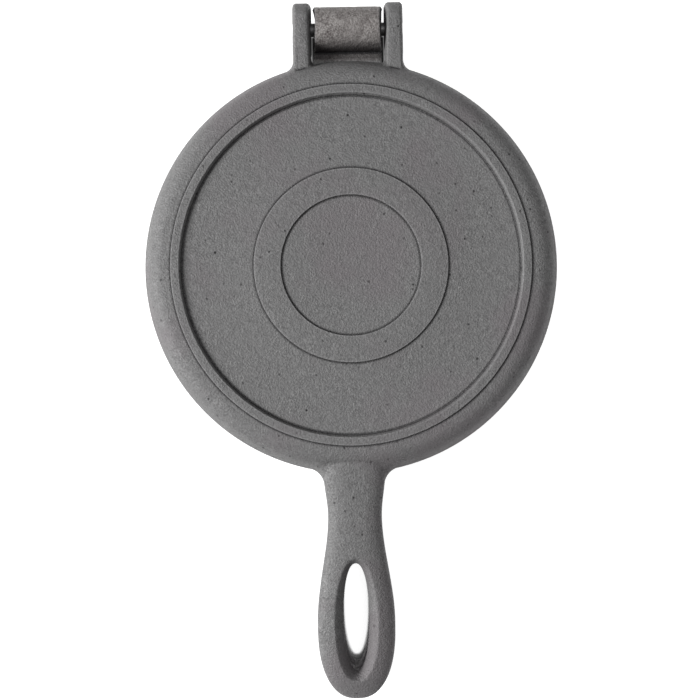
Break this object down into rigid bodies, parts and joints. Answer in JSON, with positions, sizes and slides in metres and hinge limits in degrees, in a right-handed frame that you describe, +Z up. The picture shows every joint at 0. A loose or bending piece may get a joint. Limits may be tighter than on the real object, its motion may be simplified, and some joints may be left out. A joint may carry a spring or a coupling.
{
  "type": "stovetop waffle iron",
  "caption": "Round two-part cast iron waffle iron with a knuckle hinge, looped handles and studded waffle faces, for use over a stove burner.",
  "frame": {"origin": "middle of the whole length and width, on the surface that the closed iron stands on", "axes": "+Z up, -Y toward the handles, +Y toward the hinge"},
  "size_m": [0.2022, 0.3386, 0.0273],
  "materials": {
    "upper_iron": "bare sand-cast grey iron, dull satin",
    "lower_iron": "bare sand-cast grey iron, dull satin",
    "pin_steel": "plain drawn rod, slightly dull"
  },
  "bodies": {
    "lower_half": {"lower_plate": "lower_iron"},
    "upper_half": {"upper_plate": "upper_iron", "hinge_pin": "pin_steel"}
  },
  "joints": [
    {"name": "lid_hinge", "type": "hinge", "parent": "lower_half", "child": "upper_half", "pos_m": [0, 0.1571, 0.01365], "axis": [-1, 0, 0], "range_deg": [0, 180]}
  ]
}
